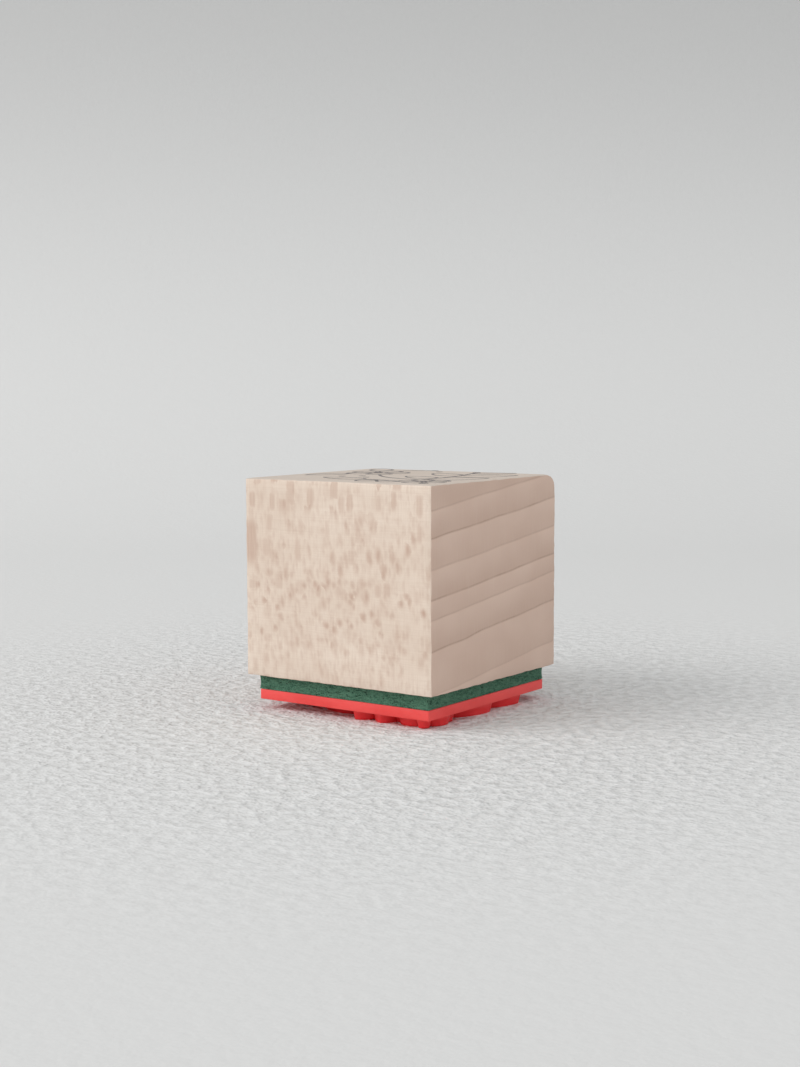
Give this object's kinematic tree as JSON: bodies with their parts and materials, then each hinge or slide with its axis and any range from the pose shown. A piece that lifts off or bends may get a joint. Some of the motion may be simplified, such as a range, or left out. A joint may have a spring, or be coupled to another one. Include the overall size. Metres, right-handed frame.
{
  "type": "rubber stamp",
  "caption": "Wood-mounted rubber stamp: square hardwood block, foam cushion and moulded rubber die with a raised sprig of leaves and blooms for printing with ink.",
  "frame": {"origin": "on the plane of the printing face, under the middle of the block", "axes": "+Z from the printing face up to the face the hand presses; X along the block's grain; the side-grain front face looks to -Y and one end-grain face to +X"},
  "size_m": [0.03, 0.03, 0.0309],
  "materials": {
    "maple": "sanded, unvarnished pale hardwood",
    "adhesive_film": "translucent tacky film",
    "cushion_foam": "fine cellular foam, matt",
    "die_rubber": "moulded, satin"
  },
  "bodies": {
    "mount": {"wood_block": "maple", "block_adhesive": "adhesive_film", "foam_cushion": "cushion_foam"},
    "die": {"die_adhesive": "adhesive_film", "rubber_die": "die_rubber"}
  },
  "joints": [
    {"name": "cushion_press", "type": "slide", "parent": "mount", "child": "die", "axis": [0, 0, 1], "range_m": [0, 0.0006], "stiffness_N_per_m": 60000, "deforming": ["foam_cushion"]}
  ]
}
